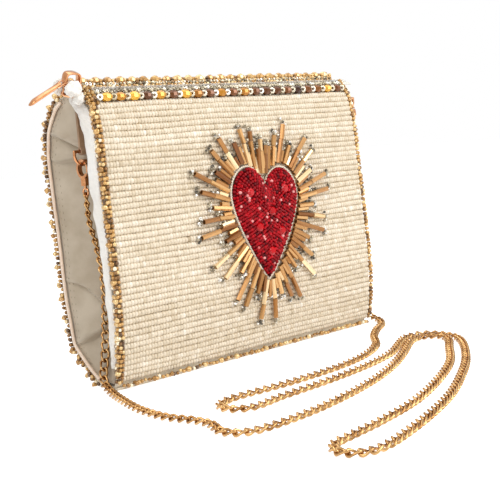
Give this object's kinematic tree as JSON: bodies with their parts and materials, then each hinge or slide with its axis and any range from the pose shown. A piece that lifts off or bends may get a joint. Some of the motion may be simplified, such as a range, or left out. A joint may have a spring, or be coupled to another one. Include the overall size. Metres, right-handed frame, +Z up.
{
  "type": "beaded crossbody purse",
  "caption": "Small rectangular crossbody purse with a beaded front, a padded heart in a ring of rays, a zip along the top and a long chain strap clipped to rings in its folded gussets.",
  "frame": {"origin": "on the floor, on the flat bottom strip under the middle of the bag's width", "axes": "+X to the right as the front is seen, -Y the way the beaded front faces, +Z up"},
  "size_m": [0.2156, 0.2172, 0.1515],
  "materials": {
    "cream_cloth": "matte",
    "lining": "matte",
    "white_cloth": "matte",
    "piping": "satin",
    "zip_tape": "matte",
    "zip_teeth": "polished",
    "zip_metal": "polished",
    "cream_beads": "gloss",
    "bronze_crystal": "faceted gloss",
    "silver_beads": "gloss",
    "gold_beads": "metallic gloss",
    "red_beads": "gloss",
    "red_stones": "gloss",
    "outline_thread": "satin",
    "bugle_beads": "satin metallic",
    "clear_beads": "gloss",
    "rose_gold": "polished",
    "chain_gold": "polished"
  },
  "bodies": {
    "bag": {"bottom_strip": "cream_cloth", "back_board": "cream_cloth", "back_lining": "lining", "slip_pocket": "lining", "gusset_left": "lining", "gusset_right": "lining", "back_piping_left": "piping", "back_piping_right": "piping", "zip_tape_back": "zip_tape", "zip_teeth_back": "zip_teeth", "zip_end_left": "white_cloth", "zip_end_right": "white_cloth", "trim_back_top": "gold_beads", "trim_back_left": "gold_beads", "trim_back_right": "gold_beads", "ring_loop_left": "white_cloth", "ring_loop_right": "white_cloth", "clasp_eye_left": "rose_gold", "clasp_eye_right": "rose_gold", "chain_drop_left": "chain_gold", "chain_floor_a": "chain_gold", "chain_floor_b": "chain_gold", "chain_floor_c": "chain_gold", "chain_floor_d": "chain_gold", "chain_drop_right": "chain_gold"},
    "front": {"front_board": "cream_cloth", "front_beadwork": "cream_beads", "front_lining": "lining", "front_band_left": "white_cloth", "front_band_right": "white_cloth", "zip_tape_front": "zip_tape", "zip_teeth_front": "zip_teeth", "trim_front_crystals": "bronze_crystal", "trim_front_spacers": "silver_beads", "trim_front_left": "gold_beads", "trim_front_right": "gold_beads", "heart_pad": "red_beads", "heart_outline": "outline_thread", "heart_stones": "red_stones", "bugle_rays": "bugle_beads", "ray_end_beads": "clear_beads", "trim_bottom": "gold_beads"},
    "slider": {"zip_slider": "zip_metal"},
    "pull": {"zip_pull": "zip_metal"},
    "ring_left": {"d_ring_left": "rose_gold"},
    "ring_right": {"d_ring_right": "rose_gold"},
    "hook_left": {"clasp_hook_left": "rose_gold"},
    "hook_right": {"clasp_hook_right": "rose_gold"},
    "lever_left": {"clasp_lever_left": "rose_gold"},
    "lever_right": {"clasp_lever_right": "rose_gold"}
  },
  "joints": [
    {"name": "mouth_open", "type": "hinge", "parent": "bag", "child": "front", "pos_m": [0, -0.0016, 0.00157], "axis": [1, 0, 0], "range_deg": [0, 12], "deforming": ["gusset_left", "gusset_right", "zip_tape_front", "zip_teeth_front", "zip_tape_back", "zip_teeth_back"]},
    {"name": "zip_slide", "type": "slide", "parent": "bag", "child": "slider", "axis": [1, 0, 0], "range_m": [0, 0.16]},
    {"name": "pull_swing", "type": "hinge", "parent": "slider", "child": "pull", "pos_m": [-0.0979, 0.00341, 0.1485], "axis": [0, 0.9092, 0.4164], "range_deg": [0, 130]},
    {"name": "ring_left_swing", "type": "hinge", "parent": "bag", "child": "ring_left", "pos_m": [-0.0855, 0.015, 0.1163], "axis": [1, 0, 0], "range_deg": [-8, 8]},
    {"name": "hook_left_swivel", "type": "hinge", "parent": "bag", "child": "hook_left", "pos_m": [-0.0855, 0.015, 0.1077], "axis": [0, 0, 1], "range_deg": [-11, 11]},
    {"name": "lever_left_press", "type": "hinge", "parent": "hook_left", "child": "lever_left", "pos_m": [-0.0855, 0.01075, 0.1065], "axis": [-1, 0, 0], "range_deg": [0, 22], "stiffness_Nm_per_rad": 0.004},
    {"name": "ring_right_swing", "type": "hinge", "parent": "bag", "child": "ring_right", "pos_m": [0.0965, 0.0045, 0.135], "axis": [1, 0, 0], "range_deg": [-8, 8]},
    {"name": "hook_right_swivel", "type": "hinge", "parent": "bag", "child": "hook_right", "pos_m": [0.0965, 0.0045, 0.1264], "axis": [0, 0, 1], "range_deg": [-11, 11]},
    {"name": "lever_right_press", "type": "hinge", "parent": "hook_right", "child": "lever_right", "pos_m": [0.0965, 0.00025, 0.1252], "axis": [-1, 0, 0], "range_deg": [0, 22], "stiffness_Nm_per_rad": 0.004}
  ],
  "couplings": [
    {"joint": "zip_slide", "follows": "mouth_open", "m_per_rad": 0.763}
  ]
}
